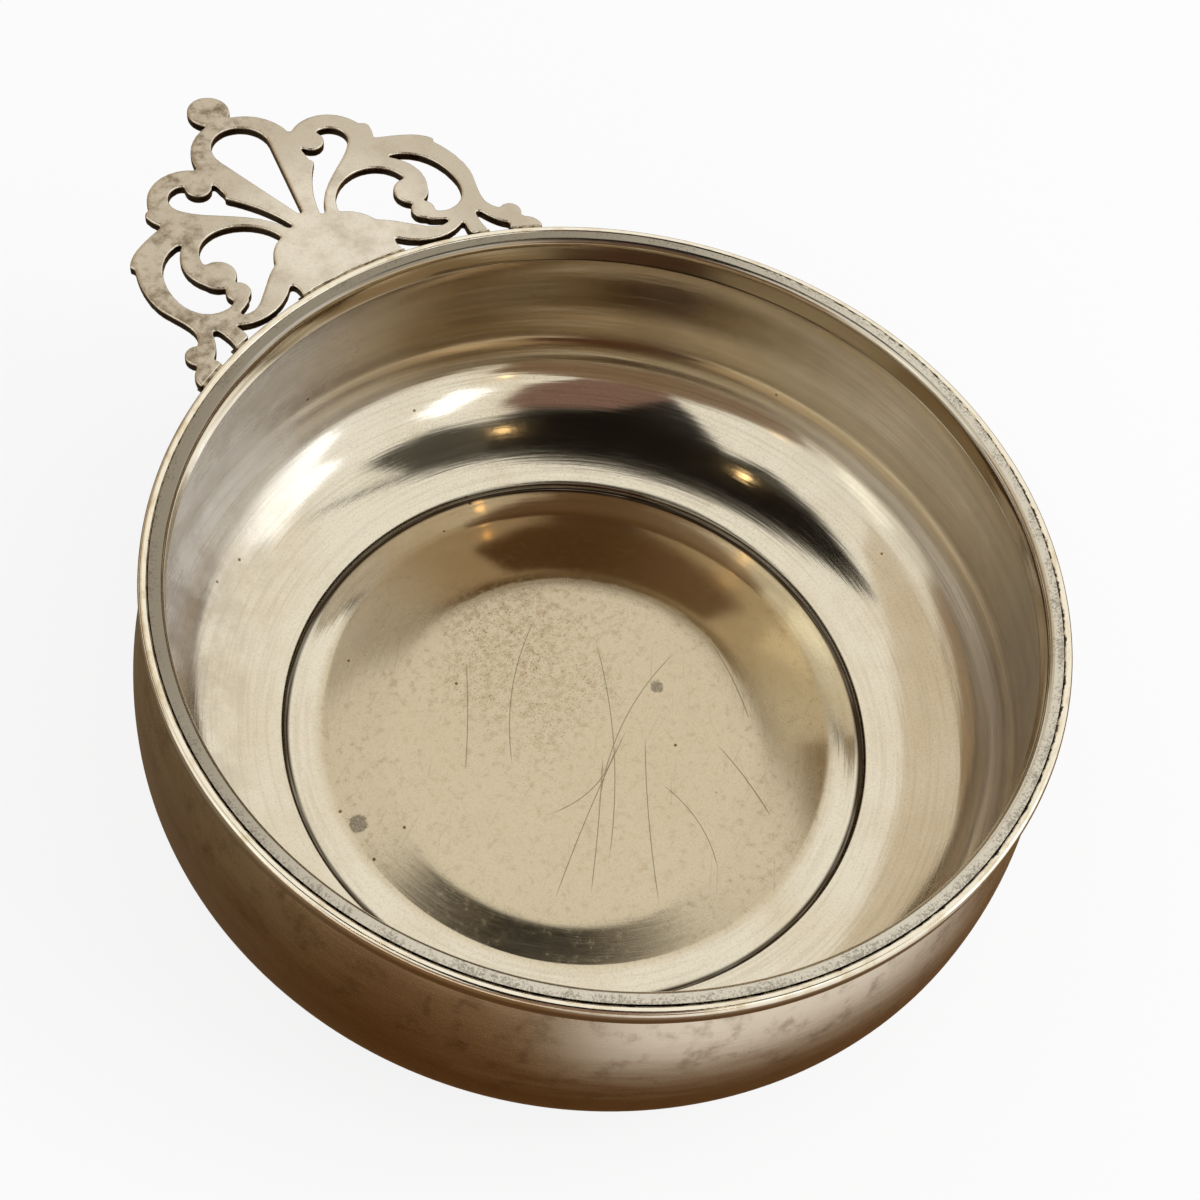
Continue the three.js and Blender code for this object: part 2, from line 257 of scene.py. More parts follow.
# one long scratch, bowed to one side and thinning at its ends
def scratchMark(tree, level, x0, y0, x1, y1, bow):
    turn = -math.atan2(y1 - y0, x1 - x0)
    length = math.hypot(x1 - x0, y1 - y0)
    home = (-(x0 * math.cos(turn) - y0 * math.sin(turn)), -(x0 * math.sin(turn) + y0 * math.cos(turn)), 0)
    run = stretch(tree, level, (1, 1, 1), home, math.degrees(turn))
    parts = addNode(tree, "SeparateXYZ", {}, {0: run})
    share = calc(tree, "DIVIDE", parts.outputs[0], length)
    swell = calc(tree, "MULTIPLY", share, calc(tree, "SUBTRACT", 1.0, share))
    off = calc(tree, "SUBTRACT", parts.outputs[1], calc(tree, "MULTIPLY", swell, 4 * bow))
    line = fade(tree, calc(tree, "ABSOLUTE", off), 0.0, bowlLook["scratchWidth"], 1.0, 0.0)
    return calc(tree, "MULTIPLY", line, fade(tree, swell, 0.0, 0.12))


# short straight marks: a noise drawn out one way and cut off near its top
def fineMarks(tree, level, turn, shift, cut):
    run = stretch(tree, level, (1, 1, 1), (shift, 0, 0), turn)
    run = stretch(tree, run, (0.07, 3.2, 1.0))
    return fade(tree, grain(tree, run, 1.0, 1.0), cut, cut + 0.06)


def floorMarks(tree, level):
    bold = most(tree, [scratchMark(tree, level, *ends) for ends in bowlLook["scratches"]])
    fine = [fineMarks(tree, level, turn, shift, cut) for turn, shift, cut in
            ((82, 0, 0.7), (104, 40, 0.71), (62, 80, 0.73), (12, 120, 0.74))]
    return bold, most(tree, fine)


def floorSpots(tree, level):
    ragged = calc(tree, "MULTIPLY", grain(tree, level, 1.1, 3.0), 1.4)
    spots = []
    for x, y, size in bowlLook["spots"]:
        gap = calc(tree, "ADD", gapTo(tree, level, x, y), ragged)
        spots.append(fade(tree, gap, size + 0.45, size + 0.85, 1.0, 0.0))
    return most(tree, spots)


def bowlFinish():
    finish, tree, shader = newFinish("bowlSilver")
    place = placeOf(tree)
    radius = radiusOf(tree, place)
    heading = headingOf(tree, place)
    height = heightOf(tree, place)
    along = calc(tree, "ADD", radius, height)
    level = stretch(tree, levelOf(tree, place), (1, 1, 1), (0, 0, 0), bowlLook["floorTurn"])
    skin = addNode(tree, "Attribute", {"attribute_name": "outside"}, {}).outputs["Fac"]
    inner = calc(tree, "SUBTRACT", 1.0, skin)
    edge = bowlLook["floorEdge"]
    floor = product(tree, fade(tree, radius, edge - 1, edge + 1, 1.0, 0.0), inner)
    lip = product(tree, fade(tree, height, bowlLook["lipFoot"], bowlLook["lipTop"]), inner)
    fine = turnedGrain(tree, heading, along, 7.0, 7.0, 4.0, 0.65)
    coarse = turnedGrain(tree, heading, along, 2.5, 1.6, 3.0, 0.6)
    rings = turnedGrain(tree, heading, along, 0.9, 0.2, 1.0)
    clouds = grain(tree, place, 0.05, 4.0, 0.6)

    # cloudy silver with turning streaks, greyer on the floor
    colour = tint(tree, fade(tree, clouds, 0.38, 0.72), bowlLook["silver"], bowlLook["warm"])
    high = fade(tree, height, 9.0, 16.0, 0.15, 0.8)
    streaks = calc(tree, "MULTIPLY", fade(tree, coarse, 0.46, 0.66), high)
    colour = tint(tree, streaks, colour, bowlLook["streak"])
    broad = turnedGrain(tree, heading, along, 2.2, 0.42, 3.0)
    bronze = product(tree, fade(tree, broad, 0.38, 0.62), fade(tree, height, 11.0, 17.0), inner)
    colour = tint(tree, calc(tree, "MULTIPLY", bronze, 0.38), colour, bowlLook["bronze"])
    colour = tint(tree, calc(tree, "MULTIPLY", floor, 0.9), colour, bowlLook["floorSilver"])
    tooth = grain(tree, place, 3.2, 4.0, 0.75)
    colour = tint(tree, fade(tree, tooth, 0.45, 0.75, 0.0, 0.32), colour, bowlLook["streak"])

    # painted brown reflection high on the far side, whitish haze on the left, painted golden reflection on
    # the right
    upper = fade(tree, height, 10.0, 16.0)
    # brown painted high on the far side: a painted reflection
    toned = product(tree, fade(tree, facing(tree, heading, bowlLook["farReflectionSide"]), 0.5, 0.95), upper, inner)
    toned = calc(tree, "MULTIPLY", toned, fade(tree, coarse, 0.25, 0.6, 0.6, 1.0))
    colour = tint(tree, toned, colour, bowlLook["toned"])
    left = fade(tree, facing(tree, heading, bowlLook["hazeSide"]), 0.35, 0.95, 0.0, bowlLook["leftHaze"])
    right = fade(tree, facing(tree, heading, bowlLook["goldenSide"]), 0.3, 0.95, 0.0, bowlLook["rightHaze"])
    haze = product(tree, most(tree, [left, right]), fade(tree, height, 5.0, 14.0), inner)
    haze = calc(tree, "MULTIPLY", haze, fade(tree, height, 39.0, 36.0))
    haze = calc(tree, "MULTIPLY", haze, fade(tree, clouds, 0.35, 0.6, 0.6, 1.0))
    haze = calc(tree, "MULTIPLY", haze, fade(tree, coarse, 0.3, 0.6, 0.8, 1.0))
    colour = tint(tree, haze, colour, bowlLook["haze"])
    stained = fade(tree, facing(tree, heading, bowlLook["stainedSide"]), 0.3, 0.95)
    stained = product(tree, stained, fade(tree, height, 2.0, 7.0), inner)
    stained = product(tree, stained, fade(tree, grain(tree, place, 0.14, 5.0, 0.65), 0.4, 0.62, 0.0, 0.6))
    colour = tint(tree, stained, colour, bowlLook["stained"])
    # the neck's band painted darker towards the far side: painted shade
    neck = product(tree, band(tree, height, bowlLook["neckFoot"], bowlLook["neckTop"], 0.3), inner)
    neck = product(tree, neck, fade(tree, facing(tree, heading, bowlLook["neckSide"]), -0.2, 0.7))
    colour = tint(tree, calc(tree, "MULTIPLY", neck, 0.8), colour, bowlLook["neck"])
    # a painted golden reflection on the upper right wall
    golden = product(tree, fade(tree, right, 0.02, 0.2), upper, fade(tree, height, 37.5, 36.5), inner)
    colour = tint(tree, calc(tree, "MULTIPLY", golden, 0.6), colour, bowlLook["golden"])

    # grime and specks, crowded on one side of the floor
    away = gapTo(tree, level, *bowlLook["speckleHeart"])
    crowd = calc(tree, "ADD", away, calc(tree, "MULTIPLY", grain(tree, place, 0.1, 3.0), 26.0))
    crowd = fade(tree, crowd, 17.0, 36.0, 1.0, 0.0)
    grime = grain(tree, place, 0.75, 5.0, 0.7)
    grime = fade(tree, calc(tree, "ADD", grime, calc(tree, "MULTIPLY", crowd, 0.08)), 0.5, 0.72)
    grime = calc(tree, "MULTIPLY", grime, floor)
    grimy = product(tree, grime, fade(tree, crowd, 0.0, 1.0, 0.3, 0.42))
    colour = tint(tree, grimy, colour, bowlLook["grime"])
    specks = calc(tree, "ADD", grain(tree, place, 3.8, 3.0, 0.7), calc(tree, "MULTIPLY", crowd, 0.12))
    specks = product(tree, fade(tree, specks, 0.66, 0.77), floor)
    colour = tint(tree, calc(tree, "MULTIPLY", specks, 0.75), colour, bowlLook["speck"])
    cells = addNode(tree, "TexVoronoi", {}, {"Vector": place, "Scale": 0.2})
    chosen = addNode(tree, "SeparateColor", {}, {0: cells.outputs["Color"]}).outputs[0]
    pits = fade(tree, cells.outputs["Distance"], 0.035, 0.06, 1.0, 0.0)
    pits = product(tree, pits, fade(tree, chosen, 0.6, 0.62), inner)
    colour = tint(tree, pits, colour, bowlLook["speck"])
    bold, light = floorMarks(tree, level)
    bold = calc(tree, "MULTIPLY", bold, floor)
    light = calc(tree, "MULTIPLY", light, floor)
    colour = tint(tree, calc(tree, "MULTIPLY", bold, 0.8), colour, bowlLook["scratch"])
    colour = tint(tree, calc(tree, "MULTIPLY", light, 0.22), colour, bowlLook["scratch"])
    spots = product(tree, floorSpots(tree, level), fade(tree, tooth, 0.3, 0.55, 0.45, 1.0), inner)
    colour = tint(tree, calc(tree, "MULTIPLY", spots, 0.75), colour, bowlLook["spot"])

    # painted shade in the step's corner, the dark line round the floor
    crease = product(tree, band(tree, radius, bowlLook["creaseIn"], bowlLook["stepShadeOut"], 0.25), inner)
    crease = product(tree, crease, fade(tree, height, 4.0, 3.0), fade(tree, coarse, 0.2, 0.55, 0.6, 1.0))
    colour = tint(tree, crease, colour, bowlLook["crease"])

    # lip: painted shade on the far side, with grains of tarnish that crowd towards the wire on the near side
    grains = grain(tree, place, 3.0, 5.0, 0.8)
    drift = calc(tree, "MULTIPLY", calc(tree, "SUBTRACT", grain(tree, place, 0.35, 3.0), 0.5), 0.35)
    crowded = fade(tree, facing(tree, heading, bowlLook["lipGrainSide"]), -0.5, 0.8, 0.0, 0.06)
    grains = calc(tree, "ADD", calc(tree, "ADD", grains, drift), crowded)
    grains = calc(tree, "MULTIPLY", grains, fade(tree, radius, 54.0, 56.2, 0.75, 1.05))
    tarnish = product(tree, lip, fade(tree, grains, 0.52, 0.66))
    lipShadeShare = fade(tree, facing(tree, heading, bowlLook["lipShadeSide"]), -0.3, 0.7)
    shade = tint(tree, lipShadeShare, bowlLook["lip"], bowlLook["lipFar"])
    colour = tint(tree, lip, colour, shade)
    colour = tint(tree, calc(tree, "MULTIPLY", tarnish, 0.6), colour, bowlLook["lipTarnish"])

    # outside: brown tarnish, darker low down as a painted reflection of a brown table, with a painted
    # highlight high up on one side
    smear = calc(tree, "SUBTRACT", turnedGrain(tree, heading, along, 3.0, 0.5, 4.0, 0.65), 0.5)
    fall = calc(tree, "ADD", height, calc(tree, "MULTIPLY", smear, 12.0))
    outside = tint(tree, fade(tree, fall, 40.0, 20.0), bowlLook["outsideHigh"], bowlLook["outsideLow"])
    # a painted highlight high up on one side of the outside
    paintedHighlight = fade(tree, facing(tree, heading, bowlLook["highlightSide"]), 0.5, 0.95)
    paintedHighlight = product(tree, paintedHighlight, fade(tree, fall, 18.0, 34.0))
    outside = tint(tree, paintedHighlight, outside, bowlLook["outsideHighlight"])
    mottle = fade(tree, grain(tree, place, 0.3, 5.0, 0.65), 0.48, 0.75)
    outside = tint(tree, calc(tree, "MULTIPLY", mottle, 0.55), outside, bowlLook["outsideMottle"])
    colour = tint(tree, skin, colour, outside)

    # the far slope of the dome is browner than its worn flat, and keeps more polish
    middle = gapTo(tree, level, *bowlLook["wornHeart"])
    middle = calc(tree, "ADD", middle, calc(tree, "MULTIPLY", clouds, 4.0))
    worn = fade(tree, middle, bowlLook["wornEdge"], bowlLook["wornEdge"] + 0.8, 1.0, 0.0)
    worn = most(tree, [worn, fade(tree, facing(tree, heading, bowlLook["nearSide"]), -0.75, -0.3)])
    bare = product(tree, floor, calc(tree, "SUBTRACT", 1.0, worn))
    colour = tint(tree, calc(tree, "MULTIPLY", bare, 0.6), colour, bowlLook["slope"])

    # haze is a film over the metal, so the metal fades under it
    metal = calc(tree, "SUBTRACT", 1.0, haze)
    rough = fade(tree, clouds, 0.3, 0.7, 0.06, 0.1)
    wornRough = fade(tree, worn, 0.0, 1.0, bowlLook["slopeRough"], bowlLook["wornRough"])
    for share, amount in (
            (haze, bowlLook["hazeRough"]),
            (floor, wornRough),
            (band(tree, height, 12.0, 20.0, 2.0), 0.05),
            (skin, bowlLook["outsideRough"]),
            (most(tree, [spots, lip, grime]), 0.1)):
        rough = calc(tree, "ADD", rough, calc(tree, "MULTIPLY", share, amount))
    rough = calc(tree, "ADD", rough, fade(tree, fine, 0.45, 0.7, 0.0, 0.05))

    # uneven turning, from broad ripples to fine lines, then the scratches
    rings = calc(tree, "MULTIPLY", rings, fade(tree, height, 6.0, 16.0, 0.7, 2.2))
    normal = bumpFrom(tree, rings, bowlLook["ringDepth"])
    broad = calc(tree, "MULTIPLY", broad, fade(tree, height, 8.0, 15.0))
    normal = bumpFrom(tree, broad, bowlLook["broadDepth"], normal)
    normal = bumpFrom(tree, coarse, bowlLook["coarseDepth"], normal)
    normal = bumpFrom(tree, fine, bowlLook["lineDepth"], normal)
    normal = bumpFrom(tree, most(tree, [bold, product(tree, pits, floor)]), -bowlLook["scratchDepth"], normal)
    connect(tree, shader, {"Base Color": colour, "Metallic": metal, "Roughness": rough, "Normal": normal})
    return finish


# the wire: polished on its crown, black in patches along its seam, brownish below
rimLook = {
    "silver": srgb(247, 244, 238),
    "worn": srgb(222, 210, 188),
    "seam": srgb(70, 62, 54),
    "under": srgb(150, 122, 92),
    "seamEdge": 56.3,            # millimetres from the axis
    "seamSide": -30,             # heading on which the stain is widest
    "underTop": 41.0,            # heights between which it turns brown
    "underFoot": 40.0,
    "wearDepth": 1.2e-5,
}


def rimFinish():
    finish, tree, shader = newFinish("rimSilver")
    place = placeOf(tree)
    radius = radiusOf(tree, place)
    heading = headingOf(tree, place)
    height = heightOf(tree, place)
    along = calc(tree, "ADD", radius, height)
    wear = turnedGrain(tree, heading, along, 24.0, 1.0, 4.0)
    colour = tint(tree, fade(tree, wear, 0.45, 0.75), rimLook["silver"], rimLook["worn"])
    under = fade(tree, height, rimLook["underTop"], rimLook["underFoot"])
    colour = tint(tree, calc(tree, "MULTIPLY", under, 0.85), colour, rimLook["under"])
    blotches = calc(tree, "SUBTRACT", turnedGrain(tree, heading, along, 45.0, 0.9, 4.0, 0.7), 0.5)
    reach = fade(tree, facing(tree, heading, rimLook["seamSide"]), 0.0, 0.9, -0.02, 0.16)
    edge = calc(tree, "SUBTRACT", radius, calc(tree, "MULTIPLY", blotches, 1.2))
    edge = calc(tree, "SUBTRACT", edge, reach)
    stain = fade(tree, edge, rimLook["seamEdge"] - 0.05, rimLook["seamEdge"] + 0.1, 1.0, 0.0)
    colour = tint(tree, stain, colour, rimLook["seam"])
    rough = calc(tree, "ADD", fade(tree, wear, 0.3, 0.8, 0.09, 0.2), calc(tree, "MULTIPLY", stain, 0.25))
    normal = bumpFrom(tree, wear, rimLook["wearDepth"])
    connect(tree, shader, {"Base Color": colour, "Roughness": rough, "Normal": normal})
    return finish


# the handle: satin on top, bright edges that are worn and carry a painted highlight, dark in the piercings,
# mottled on its outer scrolls
handleLook = {
    "silver": srgb(233, 229, 225),
    "grey": srgb(190, 181, 170),
    "edge": srgb(250, 246, 238),
    "tarnish": srgb(116, 100, 80),
    "pierced": srgb(44, 34, 25),
    "heart": (3.0, 64.0),        # middle of the bare shield, millimetres from the bowl's axis
    "mottleNear": 14.0,
    "mottleFar": 30.0,
    "edgeBand": (0.26, 0.07),    # millimetres under its top
    "wallBand": (0.3, 0.34),     # millimetres over its underside and under its top
    "cloudDepth": 4e-5,
    "toothDepth": 3e-6,
    "mottleDepth": 1.2e-5,
}


def handleFinish():
    finish, tree, shader = newFinish("handleSilver")
    place = placeOf(tree)
    height = heightOf(tree, place)
    top = plateHigh.z / mm
    low = plateLow.z / mm
    edgeLow, edgeHigh = handleLook["edgeBand"]
    wallLow, wallHigh = handleLook["wallBand"]
    tooth = grain(tree, place, 2.6, 4.0, 0.7)
    clouds = grain(tree, place, 0.2, 4.0, 0.6)
    colour = tint(tree, fade(tree, clouds, 0.4, 0.85), handleLook["silver"], handleLook["grey"])
    colour = tint(tree, fade(tree, tooth, 0.45, 0.75, 0.0, 0.3), colour, handleLook["grey"])
    away = gapTo(tree, levelOf(tree, place), *handleLook["heart"])
    colour = tint(tree, fade(tree, away, 7.0, 20.0, 0.0, 0.7), colour, handleLook["grey"])
    side = addNode(tree, "SeparateXYZ", {}, {0: place}).outputs[0]
    outer = calc(tree, "SUBTRACT", away, calc(tree, "MULTIPLY", side, 0.3))
    outer = fade(tree, outer, handleLook["mottleNear"], handleLook["mottleFar"])
    mottle = calc(tree, "ADD", grain(tree, place, 0.42, 6.0, 0.72), calc(tree, "MULTIPLY", outer, 0.1))
    mottle = product(tree, fade(tree, mottle, 0.5, 0.78), outer)
    colour = tint(tree, calc(tree, "MULTIPLY", mottle, 0.85), colour, handleLook["tarnish"])
    # bright band just under the top: painted highlight on the rounded edges, which are also worn
    edge = band(tree, height, top - edgeLow, top - edgeHigh, 0.04)
    colour = tint(tree, calc(tree, "MULTIPLY", edge, 0.7), colour, handleLook["edge"])
    walls = band(tree, height, low + wallLow, top - wallHigh, 0.1)
    walls = calc(tree, "MULTIPLY", walls, fade(tree, clouds, 0.3, 0.7, 1.0, 0.85))
    colour = tint(tree, walls, colour, handleLook["pierced"])
    rough = calc(tree, "ADD", fade(tree, tooth, 0.3, 0.7, 0.22, 0.32), calc(tree, "MULTIPLY", mottle, 0.14))
    normal = bumpFrom(tree, clouds, handleLook["cloudDepth"])
    normal = bumpFrom(tree, tooth, handleLook["toothDepth"], normal)
    normal = bumpFrom(tree, mottle, -handleLook["mottleDepth"], normal)
    connect(tree, shader, {"Base Color": colour, "Roughness": rough, "Normal": normal})
    return finish


# solder: dull grey lumps
solderLook = {
    "grey": srgb(176, 164, 144),
    "dark": srgb(92, 80, 66),
    "lumpDepth": 4e-5,
}


def solderFinish():
    finish, tree, shader = newFinish("solderGrey")
    lumps = grain(tree, placeOf(tree), 1.4, 4.0)
    colour = tint(tree, fade(tree, lumps, 0.35, 0.7), solderLook["grey"], solderLook["dark"])
    rough = fade(tree, lumps, 0.3, 0.7, 0.32, 0.5)
    normal = bumpFrom(tree, lumps, solderLook["lumpDepth"])
    connect(tree, shader, {"Base Color": colour, "Roughness": rough, "Normal": normal})
    return finish


# profile drawing, in the half plane of radius and height
def profilePoint(radius, height):
    return Vector((radius, axisY, height))


def lineTo(bm, trail, radius, height, steps=1):
    start = trail[-1].co.copy()
    goal = profilePoint(radius, height)
    for step in range(steps):
        corner = bmesh.ops.extrude_vert_indiv(bm, verts=[trail[-1]])["verts"][0]
        corner.co = start.lerp(goal, (step + 1) / steps)
        trail.append(corner)


# arc about a centre, anticlockwise with the axis on the left; tall draws it out upwards
def arcAbout(bm, trail, radius, height, degrees, steps, tall=1.0):
    centre = profilePoint(radius, height)
    home = Matrix.Translation(-centre)
    bmesh.ops.scale(bm, vec=(1, 1, 1 / tall), space=home, verts=[trail[-1]])
    before = len(bm.verts)
    bmesh.ops.spin(bm, geom=[trail[-1]], cent=centre, axis=(0, -1, 0),
                   angle=math.radians(degrees), steps=steps)
    bm.verts.ensure_lookup_table()
    made = bm.verts[before:]
    bmesh.ops.scale(bm, vec=(1, 1, tall), space=home, verts=[trail[-1]] + made)
    trail.extend(made)


def spinAbout(bm, turns):
    wire = bm.verts[:] + bm.edges[:]
    bmesh.ops.spin(bm, geom=wire, cent=(0, axisY, 0), axis=(0, 0, 1),
                   angle=2 * math.pi, steps=turns, use_merge=True)
    bmesh.ops.remove_doubles(bm, verts=bm.verts[:], dist=1e-7)
    bmesh.ops.recalc_face_normals(bm, faces=bm.faces[:])


def meshFrom(bm, name, finish):
    mesh = bpy.data.meshes.new(name)
    bm.to_mesh(mesh)
    bm.free()
    mesh.materials.append(finish)
    return mesh


def addObject(name, data):
    made = bpy.data.objects.new(name, data)
    bpy.context.scene.collection.objects.link(made)
    return made


def finishPiece(bm, name, node, finish):
    mesh = meshFrom(bm, name, finish)
    mesh.shade_smooth()
    mesh.set_sharp_from_angle(angle=sharpAngle)
    piece = addObject(name, mesh)
    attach(piece, "root")
    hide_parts(node)
    print("made", name, len(mesh.polygons), "faces")


# one sheet, turned: floor with a low dome, step, bombe side, neck and flat lip
bowl = {
    "wall": 0.8 * mm,
    "lipEdge": 1.27 * mm,        # lip's edge inside the rim's
    "lipWidth": 3.0 * mm,        # neck inside the rim's edge
    "lipRound": 1.2 * mm,
    "neckTall": 2.4 * mm,
    "neckRound": 1.1 * mm,
    "bellyDrop": 24.4 * mm,
    "sideCut": 0.637,            # share of the lower side's ellipse that the step cuts off
    "stepRadius": 41.9 * mm,
    "stepDrop": 1.15 * mm,
    "stepEdge": 0.15 * mm,
    "stepFillet": 0.6 * mm,
    "footTurn": 70,              # degrees that the foot's rounding turns through
    "ringWidth": 5.1 * mm,
    "domeRise": 1.75 * mm,
    "domeSlope": 11.0,           # degrees
    "domeTop": 25.0 * mm,        # rounding at the top and at the foot of the slope
    "domeFoot": 3.0 * mm,
    "domeShift": 4.8 * mm,       # the dome sits off the middle, towards the near side
    "domeTilt": 0.014,           # leans that way
    "domeNarrow": 0.15,          # and is narrower across
    "ripple": 0.25 * mm,         # unevenness of its far edge, as waves of size, count and start
    "waves": ((1.0, 5, 1), (0.6, 11, 2), (0.5, 19, 0)),
    "shiftTurn": 219.4,          # heading of the near side
    "turns": 240,
}


def makeBowl():
    wall = bowl["wall"]
    lipEdge = rimRadius - bowl["lipEdge"]
    neck = rimRadius - bowl["lipWidth"]
    neckZ = rimTop - bowl["lipRound"]
    bellyIn = bellyRadius - wall
    bellyZ = rimTop - bowl["bellyDrop"]
    neckFoot = neckZ - bowl["neckTall"]
    rise = neckFoot - bellyZ
    reach = neck + bowl["neckRound"] - bellyIn
    bellyArc = (reach ** 2 + rise ** 2 - bowl["neckRound"] ** 2) / (2 * (bowl["neckRound"] - reach))
    meet = math.degrees(math.atan2(rise, reach + bellyArc))

    # floor: a low dome, a flat ring round it, and the step up to the side
    ringIn = bowl["stepRadius"] - bowl["ringWidth"]
    slope = math.radians(bowl["domeSlope"])
    rounds = bowl["domeTop"] + bowl["domeFoot"]
    straight = (bowl["domeRise"] - rounds * (1 - math.cos(slope))) / math.sin(slope)
    domeRun = rounds * math.sin(slope) + straight * math.cos(slope)
    domeFlat = ringIn - domeRun
    domeZ = wall + bowl["domeRise"] - bowl["domeTop"]
    slopeEnd = ringIn - bowl["domeFoot"] * math.sin(slope)
    slopeZ = wall + bowl["domeFoot"] * (1 - math.cos(slope))
    edge = bowl["stepEdge"]
    fillet = bowl["stepFillet"]
    shoulderZ = wall + bowl["stepDrop"]

    # lower side: part of an ellipse that leans at the step and is upright at the belly
    cut = bowl["sideCut"]
    sideRun = (bellyIn - bowl["stepRadius"]) / (1 - cut)
    sideRise = (bellyZ - shoulderZ) / math.sqrt(1 - cut ** 2)
    sideMiddle = bellyIn - sideRun
    lean = math.atan2(sideRise * cut, sideRun * math.sqrt(1 - cut ** 2))
    edgeMiddle = bowl["stepRadius"] + edge * math.sin(lean)
    edgeZ = shoulderZ - edge * math.cos(lean)
    stepFace = edgeMiddle - edge
    footRound = fillet + wall
    footTurn = bowl["footTurn"]
    footEnd = stepFace - fillet + footRound * math.sin(math.radians(footTurn))
    footZ = footRound * (1 - math.cos(math.radians(footTurn)))
    underCut = math.degrees(math.asin((footEnd - sideMiddle) / (sideRun + wall)))

    bm = bmesh.new()
    skin = bm.verts.layers.float.new("outside")
    trail = [bm.verts.new(profilePoint(0, wall + bowl["domeRise"]))]
    # inside, from the middle of the floor out and up to the lip
    lineTo(bm, trail, domeFlat, wall + bowl["domeRise"], 10)
    arcAbout(bm, trail, domeFlat, domeZ, -bowl["domeSlope"], 10)
    lineTo(bm, trail, slopeEnd, slopeZ, 12)
    arcAbout(bm, trail, ringIn, wall + bowl["domeFoot"], bowl["domeSlope"], 6)
    lineTo(bm, trail, stepFace - fillet, wall, 4)
    arcAbout(bm, trail, stepFace - fillet, wall + fillet, 90, 8)
    lineTo(bm, trail, stepFace, edgeZ)
    arcAbout(bm, trail, edgeMiddle, edgeZ, math.degrees(lean) - 90, 5)
    arcAbout(bm, trail, sideMiddle, bellyZ, 90 - math.degrees(math.asin(cut)), 44, sideRise / sideRun)
    arcAbout(bm, trail, bellyIn - bellyArc, bellyZ, meet, 24)
    arcAbout(bm, trail, neck + bowl["neckRound"], neckFoot, -meet, 8)
    lineTo(bm, trail, neck, neckZ, 3)
    arcAbout(bm, trail, neck + bowl["lipRound"], neckZ, -90, 10)
    lineTo(bm, trail, lipEdge, rimTop, 3)
    insideCount = len(trail)
    # outside, from the lip's edge down and in under the floor
    lineTo(bm, trail, lipEdge, rimTop - wall)
    lineTo(bm, trail, neck + bowl["lipRound"], rimTop - wall, 2)
    arcAbout(bm, trail, neck + bowl["lipRound"], neckZ, 90, 6)
    lineTo(bm, trail, neck + wall, neckFoot, 3)
    arcAbout(bm, trail, neck + bowl["neckRound"], neckFoot, meet, 8)
    arcAbout(bm, trail, bellyIn - bellyArc, bellyZ, -meet, 24)
    arcAbout(bm, trail, sideMiddle, bellyZ, underCut - 90, 44, (sideRise + wall) / (sideRun + wall))
    lineTo(bm, trail, footEnd, footZ)
    arcAbout(bm, trail, stepFace - fillet, footRound, -footTurn, 8)
    lineTo(bm, trail, ringIn, 0, 4)
    arcAbout(bm, trail, ringIn, wall + bowl["domeFoot"], -bowl["domeSlope"], 6)
    lineTo(bm, trail, domeFlat + (bowl["domeTop"] - wall) * math.sin(slope),
           domeZ + (bowl["domeTop"] - wall) * math.cos(slope), 10)
    arcAbout(bm, trail, domeFlat, domeZ, bowl["domeSlope"], 10)
    lineTo(bm, trail, 0, bowl["domeRise"], 8)
    for corner in trail[insideCount:]:
        corner[skin] = 1.0
    spinAbout(bm, bowl["turns"])

    # the dome was not struck dead centre
    turn = math.radians(bowl["shiftTurn"])
    near = Vector((math.cos(turn), math.sin(turn), 0))
    for corner in bm.verts:
        span = math.hypot(corner.co.x, corner.co.y - axisY)
        if span < ringIn and corner.co.z < shoulderZ + bowl["domeRise"]:
            share = min(1.0, (ringIn - span) / domeRun)
            spot = corner.co - Vector((0, axisY, corner.co.z))
            forward = spot.dot(near)
            bearing = math.atan2(spot.y, spot.x)
            wave = sum(size * math.sin(count * bearing + begin) for size, count, begin in bowl["waves"])
            wave *= bowl["ripple"] * max(0.0, -forward / ringIn)
            corner.co += spot.normalized() * wave * share
            corner.co -= (spot - near * forward) * bowl["domeNarrow"] * share
            corner.co += (near * bowl["domeShift"] - Vector((0, 0, forward * bowl["domeTilt"]))) * share
    finishPiece(bm, "bowlShell", "bowl_body", bowlFinish())


# the wire, and the seam of solder under it
rim = {
    "width": 1.25 * mm,
    "foot": 0.2 * mm,
    "solderLeg": 0.6 * mm,
    "solderGap": 0.1 * mm,
    "turns": 240,
}


def makeRim():
    inner = rimRadius - rim["width"]
    crown = rim["width"] / 2
    bm = bmesh.new()
    trail = [bm.verts.new(profilePoint(inner, wireLow.z))]
    lineTo(bm, trail, rimRadius - rim["foot"], wireLow.z)
    arcAbout(bm, trail, rimRadius - rim["foot"], wireLow.z + rim["foot"], 90, 4)
    lineTo(bm, trail, rimRadius, rimTop - crown, 2)
    arcAbout(bm, trail, inner + crown, rimTop - crown, 180, 18)
    lineTo(bm, trail, inner, wireLow.z)
    spinAbout(bm, rim["turns"])
    finishPiece(bm, "rimBead", "rim_wire", rimFinish())

    leg = rim["solderLeg"]
    corner = rimRadius - rim["width"] - rim["solderGap"]
    under = rimTop - bowl["wall"] - rim["solderGap"]
    bm = bmesh.new()
    trail = [bm.verts.new(profilePoint(corner, under - leg))]
    lineTo(bm, trail, corner, under)
    lineTo(bm, trail, corner - leg, under)
    arcAbout(bm, trail, corner - leg, under - leg, -90, 8)
    spinAbout(bm, rim["turns"])
    finishPiece(bm, "rimSeam", "rim_solder", solderFinish())


# the pierced plate, cast anew so that its edges can be softened
handle = {
    "voxel": 0.17 * mm,
    "softening": 7,              # rounds
    "easing": 0.5,               # share of the way in each
}


